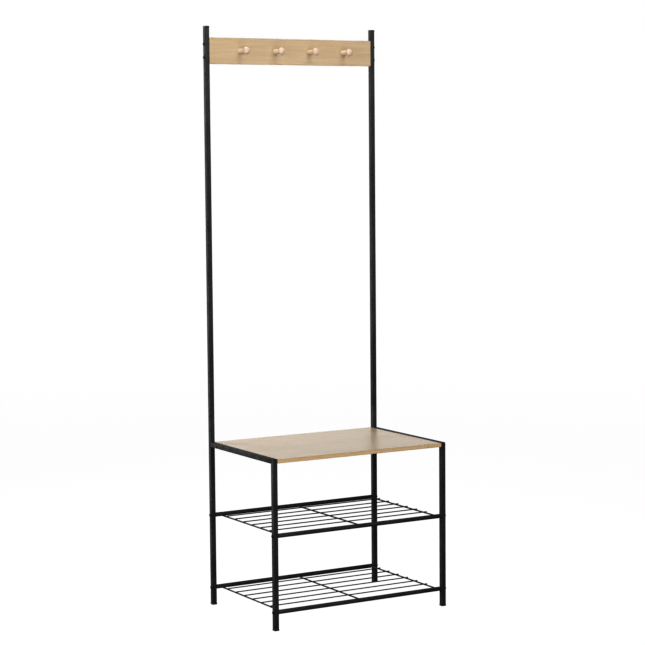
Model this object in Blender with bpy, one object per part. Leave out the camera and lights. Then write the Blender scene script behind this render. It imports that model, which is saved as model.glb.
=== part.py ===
"""Hall tree with hooks: a free-standing rack of square steel tube, bolted together.

Two side frames of square tube carry a bench seat and two wire shoe shelves, and their rear legs
are carried up in two more lengths of tube to a board with four turned pegs. Units are metres, +Z
is up, the front of the rack faces -Y, and the origin is on the floor at the middle of the rack.
"""

import math
from collections import namedtuple

import bmesh
import bpy
from mathutils import Euler, Matrix, Vector

# Overall frame, over the outer faces of the tubes
HEIGHT = 1.800
WIDTH = 0.610
DEPTH = 0.416
TUBE = 0.015
TUBE_WALL = 0.0010
TUBE_CORNER = 0.0020
SMALLEST_CORNER = 0.0004
GAP = 0.0003
DRILL_PAST = 0.002

# Heights
SEAT_TOP = 0.513
FRAME_TOP = 0.5145
UPPER_SHELF = 0.284
LOWER_SHELF = 0.055
LOWER_SEAM = 0.5855
UPPER_SEAM = 1.171

# Tube joints: an inner tube in each seam, and two bolts above the seam
JOINT_TUBE = 0.0124
JOINT_TUBE_WALL = 0.0012
JOINT_REACH = 0.045
JOINT_BOLT_HEIGHTS = (0.012, 0.032)

# Plastic ends
CAP_FLANGE = 0.0160
FOOT_HEIGHT = 0.0045
TOP_HEIGHT = 0.0050
FOOT_CHAMFER = 0.0006
TOP_ROUNDING = 0.0016
PLUG = 0.0124
PLUG_LENGTH = 0.012

# Boards
SEAT_THICK = 0.012
BOARD_THICK = TUBE
BOARD_HEIGHT = 0.080
BOARD_MIDDLE = 1.7245
BOARD_EDGE = 0.0006

# Pegs, turned about their own axis, with z measured out from the board
PEG_SPACING = 0.1230
PEG_SHAFT = 0.0080
PEG_NECK = 0.0068
PEG_NECK_AT = 0.030
PEG_KNOB = 0.0115
PEG_KNOB_HALF_THICK = 0.0068
PEG_KNOB_AT = 0.0420
PEG_EDGE = 0.0004
PEG_PILOT = 0.0019
PEG_PILOT_DEPTH = 0.024

# Shelf rails and wires
RAIL_RADIUS = 0.0065
RAIL_WALL = 0.0010
RAIL_PLUG = 0.018
CROSS_WIRE = 0.00225
LONG_WIRE = 0.0017
WIRE_RISE = 0.0008
WIRE_WELD = 0.0004
CROSS_WIRE_X = 0.277
LONG_WIRE_COUNT = 6
LONG_WIRE_SPACING = 0.055
LONG_WIRE_END = 0.0035

# Fasteners: radii of the shank, head and socket, the shank's length and the head's rise
Fastener = namedtuple("Fastener", "shank length head rise socket")
SHELF_BOLT = Fastener(shank=0.0030, length=0.029, head=0.0050, rise=0.0030, socket=0.0020)
BOARD_BOLT = Fastener(shank=0.0030, length=0.045, head=0.0050, rise=0.0030, socket=0.0020)
JOINT_BOLT = Fastener(shank=0.0030, length=0.009, head=0.0045, rise=0.0012, socket=0.0020)
SEAT_SCREW = Fastener(shank=0.0022, length=0.040, head=0.0045, rise=0.0012, socket=0.0018)
HEAD_DOME = ((1.0, 0.4), (0.82, 0.85), (0.5, 1.0))
SOCKET_DEPTH = 0.0020
SOCKET_SHARE = 0.7
BOARD_BOLT_OFFSET = 0.0205
SEAT_SCREW_REACH = 0.160
PEG_SCREW_RADIUS = 0.0016
PEG_SCREW_HEAD = 0.0038
PEG_SCREW_LENGTH = 0.035
PEG_SCREW_SINK = 0.0026
PEG_SCREW_TIP = 0.0032

# Facets
CORNER_STEPS = 3
KNOB_STEPS = 6
BOLT_SIDES = 10
ROUND_SIDES = 16
WIRE_SIDES = 10
SHARP_ANGLE = math.radians(35)
QUARTER_TURN = math.radians(90)

# Places worked out from the sizes above
SIDES = {"left": -1, "right": 1}
TUBE_X = (WIDTH - TUBE) / 2
TUBE_Y = (DEPTH - TUBE) / 2
INNER_X = WIDTH / 2 - TUBE
SHELVES = {"upper": UPPER_SHELF, "lower": LOWER_SHELF}
SEAMS = {"upper": UPPER_SEAM, "lower": LOWER_SEAM}
PEG_X = [(i - 1.5) * PEG_SPACING for i in range(4)]
ROWS = {"front": -1, "rear": 1}
SEAT_SCREW_Z = SEAT_TOP - SEAT_THICK / 2
SEAT_SCREW_Y = {name: row * SEAT_SCREW_REACH - TUBE / 2 for name, row in ROWS.items()}
TOWARDS_FRONT = (QUARTER_TURN, 0, 0)
TOWARDS_BACK = (-QUARTER_TURN, 0, 0)
BOARD_BOLT_Z = (BOARD_MIDDLE + BOARD_BOLT_OFFSET, BOARD_MIDDLE - BOARD_BOLT_OFFSET)


def clear_scene():
    for old in list(bpy.data.objects):
        bpy.data.objects.remove(old, do_unlink=True)


def material(name, color, roughness, metallic=0.0):
    made = bpy.data.materials.new(name)
    made.use_nodes = True
    shader = made.node_tree.nodes["Principled BSDF"]
    shader.inputs["Base Color"].default_value = (*color, 1.0)
    shader.inputs["Roughness"].default_value = roughness
    shader.inputs["Metallic"].default_value = metallic
    return made


def add_object(name, bm, finish, location=(0, 0, 0), rotation=(0, 0, 0)):
    """One named object from a bmesh, with its faces turned outward and round parts smooth."""
    bmesh.ops.recalc_face_normals(bm, faces=bm.faces)
    mesh = bpy.data.meshes.new(name)
    bm.to_mesh(mesh)
    bm.free()
    mesh.shade_smooth()
    mesh.set_sharp_from_angle(angle=SHARP_ANGLE)
    mesh.materials.append(finish)
    made = bpy.data.objects.new(name, mesh)
    made.location = location
    made.rotation_euler = rotation
    bpy.context.scene.collection.objects.link(made)
    return made


def copy_object(name, source, location, rotation):
    made = bpy.data.objects.new(name, source.data)
    made.location = location
    made.rotation_euler = rotation
    bpy.context.scene.collection.objects.link(made)
    return made


def rounded_square(size, corner):
    """The outline of a square with round corners, as (x, y) points, counter-clockwise."""
    points = []
    middle = size / 2 - corner
    for quarter in range(4):
        turn = QUARTER_TURN * quarter
        center_x = middle * (1 if quarter in (0, 3) else -1)
        center_y = middle * (1 if quarter in (0, 1) else -1)
        for step in range(CORNER_STEPS + 1):
            angle = turn + QUARTER_TURN * step / CORNER_STEPS
            points.append((center_x + corner * math.cos(angle), center_y + corner * math.sin(angle)))
    return points


def bridge(bm, ring_a, ring_b):
    count = len(ring_a)
    for i in range(count):
        j = (i + 1) % count
        bm.faces.new((ring_a[i], ring_a[j], ring_b[j], ring_b[i]))


def hollow_tube(size, corner, wall, length, mitre=0.0):
    """Square tube along +Z from 0. A mitre of 1 slopes the far end at 45 degrees down towards +Y."""
    bm = bmesh.new()
    outer_outline = rounded_square(size, corner)
    inner_outline = rounded_square(size - 2 * wall, max(corner - wall, SMALLEST_CORNER))

    def ring(outline, height, slope):
        return [bm.verts.new((x, y, height - slope * (y + size / 2))) for x, y in outline]

    outer_low = ring(outer_outline, 0.0, 0.0)
    outer_high = ring(outer_outline, length, mitre)
    inner_low = ring(inner_outline, 0.0, 0.0)
    inner_high = ring(inner_outline, length, mitre)
    bridge(bm, outer_low, outer_high)
    bridge(bm, inner_high, inner_low)
    bridge(bm, inner_low, outer_low)
    bridge(bm, outer_high, inner_high)
    return bm


def stacked_squares(rings):
    """A closed solid through square outlines, each given as (size, corner, z)."""
    bm = bmesh.new()
    made = []
    for size, corner, z in rings:
        made.append([bm.verts.new((x, y, z)) for x, y in rounded_square(size, corner)])
    for low, high in zip(made, made[1:]):
        bridge(bm, low, high)
    bm.faces.new(made[0])
    bm.faces.new(made[-1])
    return bm


def circle(bm, radius, z, sides):
    made = []
    for i in range(sides):
        angle = math.tau * i / sides
        made.append(bm.verts.new((radius * math.cos(angle), radius * math.sin(angle), z)))
    return made


def turned_solid(profile, sides):
    """A solid turned about Z from (radius, z) points, whose first and last radius are 0."""
    bm = bmesh.new()
    first = bm.verts.new((0, 0, profile[0][1]))
    last = bm.verts.new((0, 0, profile[-1][1]))
    rings = [circle(bm, radius, z, sides) for radius, z in profile[1:-1]]
    for low, high in zip(rings, rings[1:]):
        bridge(bm, low, high)
    for i in range(sides):
        j = (i + 1) % sides
        bm.faces.new((first, rings[0][i], rings[0][j]))
        bm.faces.new((last, rings[-1][j], rings[-1][i]))
    return bm


def merge(bm, other, place):
    """Add another bmesh's faces to this one, moved by a matrix."""
    moved = bpy.data.meshes.new("moved")
    other.to_mesh(moved)
    other.free()
    moved.transform(place)
    bm.from_mesh(moved)
    bpy.data.meshes.remove(moved)


def turned_sleeve(profile, sides):
    """A sleeve turned about Z from a closed loop of (radius, z) points clear of the axis."""
    bm = bmesh.new()
    rings = [circle(bm, radius, z, sides) for radius, z in profile]
    for ring_a, ring_b in zip(rings, rings[1:] + rings[:1]):
        bridge(bm, ring_a, ring_b)
    return bm


def add_rod(bm, start, end, radius, sides=BOLT_SIDES):
    start = Vector(start)
    end = Vector(end)
    along = end - start
    place = Matrix.Translation((start + end) / 2) @ along.to_track_quat("Z", "Y").to_matrix().to_4x4()
    bmesh.ops.create_cone(
        bm,
        cap_ends=True,
        segments=sides,
        radius1=radius,
        radius2=radius,
        depth=along.length,
        matrix=place,
    )


def drills(holes):
    """Drill bits for holes, each given as (start, end, radius)."""
    bm = bmesh.new()
    for start, end, radius in holes:
        add_rod(bm, start, end, radius)
    return bm


def cut(target, bits):
    cutter = add_object(target.name + "_cutter", bits, target.data.materials[0])
    cutter.hide_render = True
    cutter.display_type = "WIRE"
    boolean = target.modifiers.new("holes", "BOOLEAN")
    boolean.operation = "DIFFERENCE"
    boolean.object = cutter


def facing_out(side):
    """The rotation that turns a fastener's head, +Z, to face away from the rack at this side."""
    return (0, QUARTER_TURN * side, 0)


def through_side(side, y, z, depth, radius):
    """A hole from outside the rack, along X, to a depth below the tubes' outer face."""
    outer = side * (WIDTH / 2 + DRILL_PAST)
    return ((outer, y, z), (side * (WIDTH / 2 - depth), y, z), radius)


def clearance(fastener):
    return fastener.shank + GAP


def joint_bolt_holes(side, seam):
    """Holes for a seam's two bolts, through the outer wall only."""
    radius = clearance(JOINT_BOLT)
    return [through_side(side, TUBE_Y, seam + up, TUBE / 2, radius) for up in JOINT_BOLT_HEIGHTS]


def shelf_bolt_holes(side, y):
    return [through_side(side, y, z, TUBE + DRILL_PAST, clearance(SHELF_BOLT)) for z in SHELVES.values()]


def board_bolt_holes(side, depth):
    return [through_side(side, TUBE_Y, z, depth, clearance(BOARD_BOLT)) for z in BOARD_BOLT_Z]


def seat_screw_holes(side, depth):
    radius = clearance(SEAT_SCREW)
    return [through_side(side, y, SEAT_SCREW_Z, depth, radius) for y in SEAT_SCREW_Y.values()]


def top_upright(side_name, steel):
    side = SIDES[side_name]
    length = HEIGHT - TOP_HEIGHT - GAP - UPPER_SEAM
    bm = hollow_tube(TUBE, TUBE_CORNER, TUBE_WALL, length)
    made = add_object(side_name + "_top_upright", bm, steel, (side * TUBE_X, TUBE_Y, UPPER_SEAM))
    holes = joint_bolt_holes(side, UPPER_SEAM)
    holes += board_bolt_holes(side, TUBE + DRILL_PAST)
    cut(made, drills(holes))


def middle_upright(side_name, steel):
    side = SIDES[side_name]
    bm = hollow_tube(TUBE, TUBE_CORNER, TUBE_WALL, UPPER_SEAM - LOWER_SEAM - GAP)
    made = add_object(side_name + "_middle_upright", bm, steel, (side * TUBE_X, TUBE_Y, LOWER_SEAM))
    cut(made, drills(joint_bolt_holes(side, LOWER_SEAM)))


def rear_leg(side_name, steel):
    side = SIDES[side_name]
    foot = FOOT_HEIGHT + GAP
    bm = hollow_tube(TUBE, TUBE_CORNER, TUBE_WALL, LOWER_SEAM - GAP - foot)
    made = add_object(side_name + "_rear_leg", bm, steel, (side * TUBE_X, TUBE_Y, foot))
    cut(made, drills(shelf_bolt_holes(side, TUBE_Y)))


def front_leg(side_name, steel):
    """The front leg, mitred at the top to meet the seat rail."""
    side = SIDES[side_name]
    foot = FOOT_HEIGHT + GAP
    bm = hollow_tube(TUBE, TUBE_CORNER, TUBE_WALL, FRAME_TOP - GAP - foot, mitre=1.0)
    made = add_object(side_name + "_front_leg", bm, steel, (side * TUBE_X, -TUBE_Y, foot))
    cut(made, drills(shelf_bolt_holes(side, -TUBE_Y)))


def seat_rail(side_name, steel):
    """The side rail under the seat's end, from the rear leg forward to its mitre."""
    side = SIDES[side_name]
    rear = DEPTH / 2 - TUBE - GAP
    bm = hollow_tube(TUBE, TUBE_CORNER, TUBE_WALL, rear + DEPTH / 2 - GAP, mitre=1.0)
    place = (side * TUBE_X, rear, FRAME_TOP - TUBE / 2)
    forward = Matrix(((1, 0, 0), (0, 0, -1), (0, -1, 0)))
    bmesh.ops.transform(bm, matrix=forward.to_4x4(), verts=bm.verts)
    made = add_object(side_name + "_seat_rail", bm, steel, place)
    cut(made, drills(seat_screw_holes(side, TUBE + DRILL_PAST)))


def joint_tube(side_name, seam_name, steel):
    """The inner tube that joins two lengths of upright, half in each."""
    side = SIDES[side_name]
    seam = SEAMS[seam_name]
    bm = hollow_tube(JOINT_TUBE, TUBE_CORNER - TUBE_WALL, JOINT_TUBE_WALL, 2 * JOINT_REACH)
    place = (side * TUBE_X, TUBE_Y, seam - JOINT_REACH)
    made = add_object(f"{side_name}_{seam_name}_joint_tube", bm, steel, place)
    cut(made, drills(joint_bolt_holes(side, seam)))


def foot_cap(side_name, row_name, plastic):
    rings = [
        (CAP_FLANGE - 2 * FOOT_CHAMFER, TUBE_CORNER, 0.0),
        (CAP_FLANGE, TUBE_CORNER, FOOT_CHAMFER),
        (CAP_FLANGE, TUBE_CORNER, FOOT_HEIGHT),
        (PLUG, TUBE_CORNER / 2, FOOT_HEIGHT),
        (PLUG, TUBE_CORNER / 2, FOOT_HEIGHT + PLUG_LENGTH),
    ]
    place = (SIDES[side_name] * TUBE_X, ROWS[row_name] * TUBE_Y, 0)
    add_object(f"{side_name}_{row_name}_foot_cap", stacked_squares(rings), plastic, place)


def top_cap(side_name, plastic):
    rings = [
        (PLUG, TUBE_CORNER / 2, -TOP_HEIGHT - PLUG_LENGTH),
        (PLUG, TUBE_CORNER / 2, -TOP_HEIGHT),
        (CAP_FLANGE, TUBE_CORNER, -TOP_HEIGHT),
        (CAP_FLANGE, TUBE_CORNER, -TOP_ROUNDING),
        (CAP_FLANGE - TOP_ROUNDING, TUBE_CORNER, -TOP_ROUNDING / 4),
        (CAP_FLANGE - 3 * TOP_ROUNDING, TUBE_CORNER, 0.0),
    ]
    place = (SIDES[side_name] * TUBE_X, TUBE_Y, HEIGHT)
    add_object(side_name + "_top_cap", stacked_squares(rings), plastic, place)


def board(name, size, place, finish):
    """A flat board with its long edges and ends lightly rounded."""
    bm = bmesh.new()
    bmesh.ops.create_cube(bm, size=1.0)
    bmesh.ops.scale(bm, vec=size, verts=bm.verts)
    made = add_object(name, bm, finish, place)
    bevel = made.modifiers.new("edges", "BEVEL")
    bevel.width = BOARD_EDGE
    bevel.segments = 2
    return made


def seat_board(laminate):
    size = (2 * (INNER_X - GAP), DEPTH, SEAT_THICK)
    made = board("seat_board", size, (0, 0, SEAT_SCREW_Z), laminate)
    holes = []
    for side in SIDES.values():
        holes += seat_screw_holes(side, SEAT_SCREW.length + DRILL_PAST)
    cut(made, drills(holes))


def countersink_bit():
    """A bit along Z for a peg screw's hole; the board's back face is at z = 0."""
    hole = PEG_SCREW_RADIUS + 2 * GAP
    wide = PEG_SCREW_HEAD + GAP
    profile = [
        (0, -2 * BOARD_THICK),
        (hole, -2 * BOARD_THICK),
        (hole, hole - wide),
        (wide + DRILL_PAST, DRILL_PAST),
        (0, DRILL_PAST),
    ]
    return turned_solid(profile, BOLT_SIDES)


def hook_board(laminate):
    size = (2 * (INNER_X - GAP), BOARD_THICK, BOARD_HEIGHT)
    made = board("hook_board", size, (0, TUBE_Y, BOARD_MIDDLE), laminate)
    holes = []
    for side in SIDES.values():
        holes += board_bolt_holes(side, BOARD_BOLT.length + DRILL_PAST)
    bits = drills(holes)
    for x in PEG_X:
        place = Matrix.Translation((x, DEPTH / 2, BOARD_MIDDLE)) @ Euler(TOWARDS_BACK).to_matrix().to_4x4()
        merge(bits, countersink_bit(), place)
    cut(made, bits)


def peg_profile():
    """Half the outline of a turned peg, from the end of its pilot hole round to the knob's tip."""
    profile = [(0, PEG_PILOT_DEPTH), (PEG_PILOT, PEG_PILOT_DEPTH), (PEG_PILOT, 0)]
    profile += [(PEG_SHAFT - PEG_EDGE, 0), (PEG_SHAFT, PEG_EDGE), (PEG_SHAFT, PEG_NECK_AT / 2)]
    profile += [(PEG_NECK, PEG_NECK_AT)]
    start = -math.acos((PEG_NECK + PEG_EDGE) / PEG_KNOB)
    for step in range(KNOB_STEPS):
        angle = start + (QUARTER_TURN - start) * step / KNOB_STEPS
        across = PEG_KNOB * math.cos(angle)
        profile.append((across, PEG_KNOB_AT + PEG_KNOB_HALF_THICK * math.sin(angle)))
    profile.append((0, PEG_KNOB_AT + PEG_KNOB_HALF_THICK))
    return profile


def hook_pegs(beech):
    front = DEPTH / 2 - BOARD_THICK - GAP
    first = None
    for number, x in enumerate(PEG_X, start=1):
        name = f"hook_peg_{number}"
        place = (x, front, BOARD_MIDDLE)
        if first is None:
            first = add_object(name, turned_solid(peg_profile(), ROUND_SIDES), beech, place, TOWARDS_FRONT)
        else:
            copy_object(name, first, place, TOWARDS_FRONT)


def peg_screws(zinc):
    """Countersunk screws from the back of the board into the pegs, their heads just below its face."""
    profile = [
        (0, -PEG_SCREW_LENGTH),
        (PEG_SCREW_RADIUS, PEG_SCREW_TIP - PEG_SCREW_LENGTH),
        (PEG_SCREW_RADIUS, -GAP - PEG_SCREW_SINK),
        (PEG_SCREW_HEAD - 2 * GAP, -GAP),
        (PEG_SCREW_RADIUS, -GAP),
        (0, -GAP - PEG_SCREW_RADIUS),
    ]
    first = None
    for number, x in enumerate(PEG_X, start=1):
        name = f"peg_screw_{number}"
        place = (x, DEPTH / 2, BOARD_MIDDLE)
        if first is None:
            first = add_object(name, turned_solid(profile, BOLT_SIDES), zinc, place, TOWARDS_BACK)
        else:
            copy_object(name, first, place, TOWARDS_BACK)


def shelf_rails(shelf_name, steel):
    """Front and rear rails: round tube, closed at each end but for the bolt's threaded hole."""
    length = 2 * (INNER_X - GAP)
    bore = RAIL_RADIUS - RAIL_WALL
    thread = clearance(SHELF_BOLT)
    loop = [
        (RAIL_RADIUS, 0),
        (RAIL_RADIUS, length),
        (thread, length),
        (thread, length - RAIL_PLUG),
        (bore, length - RAIL_PLUG),
        (bore, RAIL_PLUG),
        (thread, RAIL_PLUG),
        (thread, 0),
    ]
    along_x = (0, QUARTER_TURN, 0)
    for row_name, row in ROWS.items():
        name = f"{shelf_name}_shelf_{row_name}_rail"
        place = (-length / 2, row * TUBE_Y, SHELVES[shelf_name])
        add_object(name, turned_sleeve(loop, ROUND_SIDES), steel, place, along_x)


def shelf_wires(shelf_name, steel):
    """Six long wires welded on top of three cross wires, which run between the rails."""
    z = SHELVES[shelf_name] + WIRE_RISE
    reach = TUBE_Y - RAIL_RADIUS - GAP
    bm = bmesh.new()
    for x in (-CROSS_WIRE_X, 0.0, CROSS_WIRE_X):
        add_rod(bm, (x, -reach, z), (x, reach, z), CROSS_WIRE, sides=WIRE_SIDES)
    made = add_object(f"{shelf_name}_shelf_wires", bm, steel)
    long_z = z + CROSS_WIRE + LONG_WIRE - WIRE_WELD
    end_x = CROSS_WIRE_X + LONG_WIRE_END
    bm = bmesh.new()
    for number in range(LONG_WIRE_COUNT):
        y = (number - (LONG_WIRE_COUNT - 1) / 2) * LONG_WIRE_SPACING
        add_rod(bm, (-end_x, y, long_z), (end_x, y, long_z), LONG_WIRE, sides=WIRE_SIDES)
    long_wires = add_object(f"{shelf_name}_shelf_long_wires", bm, steel)
    long_wires.hide_render = True
    long_wires.display_type = "WIRE"
    weld = made.modifiers.new("welds", "BOOLEAN")
    weld.operation = "UNION"
    weld.object = long_wires


def fastener_mesh(name, fastener, steel):
    """A bolt with its shank down -Z, a low domed head and a six-sided socket."""
    shank = fastener.shank
    top = GAP + fastener.rise
    chamfer = shank / 4
    profile = [(0, -fastener.length), (shank - chamfer, -fastener.length)]
    profile += [(shank, chamfer - fastener.length), (shank, GAP), (fastener.head, GAP)]
    profile += [(fastener.head * across, GAP + fastener.rise * up) for across, up in HEAD_DOME]
    profile += [(0, top)]
    made = add_object(name, turned_solid(profile, BOLT_SIDES), steel)
    bm = bmesh.new()
    bottom = top - min(SOCKET_DEPTH, fastener.rise * SOCKET_SHARE)
    add_rod(bm, (0, 0, bottom), (0, 0, top + DRILL_PAST), fastener.socket, sides=6)
    cutter = add_object(name + "_socket", bm, steel)
    boolean = made.modifiers.new("socket", "BOOLEAN")
    boolean.operation = "DIFFERENCE"
    boolean.object = cutter
    bpy.context.view_layer.update()
    evaluated = made.evaluated_get(bpy.context.evaluated_depsgraph_get())
    mesh = bpy.data.meshes.new_from_object(evaluated)
    mesh.name = name
    for used in (made, cutter):
        bpy.data.objects.remove(used, do_unlink=True)
    return mesh


def place_fastener(name, mesh, side, y, z):
    made = bpy.data.objects.new(name, mesh)
    made.location = (side * WIDTH / 2, y, z)
    made.rotation_euler = facing_out(side)
    bpy.context.scene.collection.objects.link(made)


def fasteners(steel):
    shelf_mesh = fastener_mesh("shelf_bolt", SHELF_BOLT, steel)
    board_mesh = fastener_mesh("board_bolt", BOARD_BOLT, steel)
    joint_mesh = fastener_mesh("joint_bolt", JOINT_BOLT, steel)
    screw_mesh = fastener_mesh("seat_screw", SEAT_SCREW, steel)
    for side_name, side in SIDES.items():
        for shelf_name, z in SHELVES.items():
            for row_name, row in ROWS.items():
                name = f"{side_name}_{row_name}_{shelf_name}_shelf_bolt"
                place_fastener(name, shelf_mesh, side, row * TUBE_Y, z)
        for level, z in zip(("upper", "lower"), BOARD_BOLT_Z):
            place_fastener(f"{side_name}_{level}_hook_board_bolt", board_mesh, side, TUBE_Y, z)
        for seam_name, seam in SEAMS.items():
            for number, up in enumerate(JOINT_BOLT_HEIGHTS, start=1):
                name = f"{side_name}_{seam_name}_joint_bolt_{number}"
                place_fastener(name, joint_mesh, side, TUBE_Y, seam + up)
        for row_name, y in SEAT_SCREW_Y.items():
            name = f"{side_name}_{row_name}_seat_screw"
            place_fastener(name, screw_mesh, side, y, SEAT_SCREW_Z)


def build():
    clear_scene()
    steel = material("black_powder_coat", (0.014, 0.014, 0.014), 0.48)
    bolt_steel = material("black_bolt", (0.012, 0.012, 0.013), 0.38, 0.4)
    plastic = material("black_plastic", (0.008, 0.008, 0.008), 0.42)
    laminate = material("oak_laminate", (0.58, 0.42, 0.24), 0.45)
    beech = material("turned_beech", (0.76, 0.55, 0.36), 0.42)
    zinc = material("zinc_screw", (0.55, 0.55, 0.56), 0.35, 1.0)
    for side_name in SIDES:
        top_upright(side_name, steel)
        middle_upright(side_name, steel)
        rear_leg(side_name, steel)
        front_leg(side_name, steel)
        seat_rail(side_name, steel)
        top_cap(side_name, plastic)
        for seam_name in SEAMS:
            joint_tube(side_name, seam_name, steel)
        for row_name in ROWS:
            foot_cap(side_name, row_name, plastic)
    seat_board(laminate)
    hook_board(laminate)
    hook_pegs(beech)
    peg_screws(zinc)
    for shelf_name in SHELVES:
        shelf_rails(shelf_name, steel)
        shelf_wires(shelf_name, steel)
    fasteners(bolt_steel)


build()
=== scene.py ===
"""Looks for the hall tree: fine shapes, materials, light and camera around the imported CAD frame.

Every piece is built in the CAD's own frame, in metres, in the place of the CAD node that it stands for.
"""

import math

import bmesh
import bpy
from mathutils import Euler, Matrix, Vector


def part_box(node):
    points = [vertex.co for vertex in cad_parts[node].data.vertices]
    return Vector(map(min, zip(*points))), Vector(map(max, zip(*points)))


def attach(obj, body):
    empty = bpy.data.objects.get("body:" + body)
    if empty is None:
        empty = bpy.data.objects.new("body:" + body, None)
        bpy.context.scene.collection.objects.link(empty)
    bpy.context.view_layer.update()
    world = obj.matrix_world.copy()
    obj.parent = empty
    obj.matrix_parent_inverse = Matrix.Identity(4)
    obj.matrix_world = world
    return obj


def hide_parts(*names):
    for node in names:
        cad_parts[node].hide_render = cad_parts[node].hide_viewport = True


MM = 0.001
QUARTER_TURN = math.radians(90)

# Sides round a wire, a weld bead and a drilled hole
THIN_SIDES = 20

# Tubes and rails. A rounded rim is cut in two facets, which meet at EASE of its radius.
TUBE_CORNER = 2.0 * MM
TUBE_WALL = 1.0 * MM
TUBE_END_ROUND = 0.25 * MM
EASE = 0.3
CORNER_STEPS = 6
FLAT_MARGIN = 0.5 * MM
RAIL_WALL = 1.0 * MM
RAIL_PLUG = 18 * MM
RAIL_SIDES = 40

# Shelf wires
CROSS_WIRE = 2.25 * MM
LONG_WIRE = 1.7 * MM
LONG_WIRE_END = 3.5 * MM
LONG_WIRE_COUNT = 6
LONG_WIRE_SPACING = 55 * MM
WIRE_END_ROUND = 0.5 * MM

# Welds: the flare of a cross wire at its rail, the nugget at each crossing, and the seat rails' beads
WIRE_FLARE = 0.9 * MM
FLARE_LENGTH = 1.6 * WIRE_FLARE
FLARE_CURVE = 2.2
FLARE_STEPS = 6
WELD_DEPTH = 0.5 * MM
NUGGET = (2.5 * MM, 2.1 * MM, 1.3 * MM)
NUGGET_TURNS = 16
NUGGET_RINGS = 10
BEAD_RADIUS = 1.3 * MM
BEAD_STEPS = 40
BEAD_RIPPLES = 7
BEAD_RIPPLE_SHARE = 0.10
BEAD_END_SHARE = 0.04
BEAD_ROUNDING = 0.25

# Boards. A face of more than BOARD_SIDE across is a side, and a smaller one belongs to a rounded edge.
# It is laminate where its normal has more than FLAT_FACE along the board's thin axis.
BOARD_EDGE = 0.7 * MM
BOARD_EDGE_STEPS = 4
BOARD_SIDE = 8 * MM
FLAT_FACE = 0.99

# Pegs, with lengths measured out from the board
PEG_SHAFT = 8.0 * MM
PEG_NECK = 6.8 * MM
PEG_NECK_AT = 30.0 * MM
PEG_TAPER_FROM = 12.0 * MM
PEG_KNOB = 11.5 * MM
PEG_KNOB_HALF_THICK = 6.8 * MM
PEG_KNOB_AT = 42.0 * MM
PEG_FOOT_CHAMFER = 0.5 * MM
PEG_COVE = 1.2 * MM
PEG_TAPER_STEPS = 8
PEG_KNOB_STEPS = 22
PEG_SIDES = 56
PEG_NUMBERS = (1, 2, 3, 4)

# Bolts and screws with a hexagon socket, with lengths under the head, and their holes. HEAD_LAND is the
# upright share of a head's rise, and SOCKET_POINT the depth of a socket's point over its radius.
SHANK = 3.0 * MM
SCREW_SHANK = 2.2 * MM
SHELF_BOLT_LENGTH = 29 * MM
BOARD_BOLT_LENGTH = 45 * MM
JOINT_BOLT_LENGTH = 9 * MM
SEAT_SCREW_LENGTH = 42 * MM
DOMED_HEAD = {
    "radius": 5.0 * MM, "rise": 3.2 * MM, "crown": 2.6 * MM, "hex_across": 4.0 * MM, "depth": 1.9 * MM,
}
LOW_HEAD = {
    "radius": 4.5 * MM, "rise": 1.4 * MM, "crown": 3.2 * MM, "hex_across": 3.6 * MM, "depth": 0.8 * MM,
}
HEAD_CHAMFER = 0.15 * MM
HEAD_LAND = 0.22
HEAD_STEPS = 9
SOCKET_LIP = 0.25 * MM
SOCKET_POINT = 0.35
HEX = 6
BOLT_SIDES = 48
HOLE_PLAY = 0.3 * MM
DRILL_PAST = 2.0 * MM

# Countersunk screws with a cross recess
PEG_SCREW_LENGTH = 35 * MM
COUNTERSUNK_SHANK = 1.6 * MM
COUNTERSUNK_HEAD = 3.8 * MM
COUNTERSUNK_RIM = 0.1 * MM
COUNTERSUNK_BELOW = 0.2 * MM
RECESS_LENGTH = 1.15 * COUNTERSUNK_HEAD
RECESS_WIDTH = 0.9 * MM
RECESS_HEIGHT = 2 * MM

# Caps
CAP_SIZE = 16.0 * MM
CAP_LIP = 0.3 * MM
PLUG_SIZE = 12.4 * MM
FOOT_RIM = 0.8 * MM
FOOT_FLAT = 0.6 * MM
TOP_RIM = 1.4 * MM
TOP_CROWN = 0.4 * MM
TOP_SHOULDER = 1.5 * MM
TOP_FLAT = 3.5 * MM
RIM_STEPS = 5

# Stage, lights and camera
FLOOR_RADIUS = 9.0
FLOOR_SIDES = 96
FLOOR_GLOW = 0.965
FLOOR_ALBEDO = 0.05
FLOOR_ROUGHNESS = 0.9
FLOOR_FADE_FROM = 1.0
WALL_DIRECTION = (0.50, 0.86, 0.10)
WALL_SPREAD = (0.74, 0.98)
WALL_LIGHT = 1.4
ROOM_LIGHT = 0.08
AIM = (0.0, 0.0, 1.0)
FRONT_PLACE = (-0.6, -4.2, 1.6)
FRONT_SIZE = (3.0, 2.4)
FRONT_POWER = 178
TOP_PLACE = (0.0, -0.42, 2.95)
TOP_AIM = (0.0, 0.10, 1.72)
TOP_SIZE = (1.5, 0.5)
TOP_SPREAD = math.radians(80)
TOP_POWER = 8.3
LOW_PLACE = (-0.4, -1.4, 0.75)
LOW_AIM = (0.0, 0.19, 1.70)
LOW_SIZE = (1.4, 0.8)
LOW_SPREAD = math.radians(50)
LOW_POWER = 1.7
SIDE_PLACE = (-1.25, 1.7, 1.3)
SIDE_SIZE = (0.5, 2.8)
SIDE_POWER = 72
LEFT_PLACE = (-3.6, -1.6, 1.7)
LEFT_SIZE = (2.6, 2.6)
LEFT_POWER = 150
CAMERA_PLACE = (-3.0713, -5.2218, 1.4315)
CAMERA_ANGLES = (30.375, 5.132, 0.492)
CAMERA_LENS = 109.87
CAMERA_SENSOR = 36.0
VIEW_GAMMA = 0.7

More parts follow.
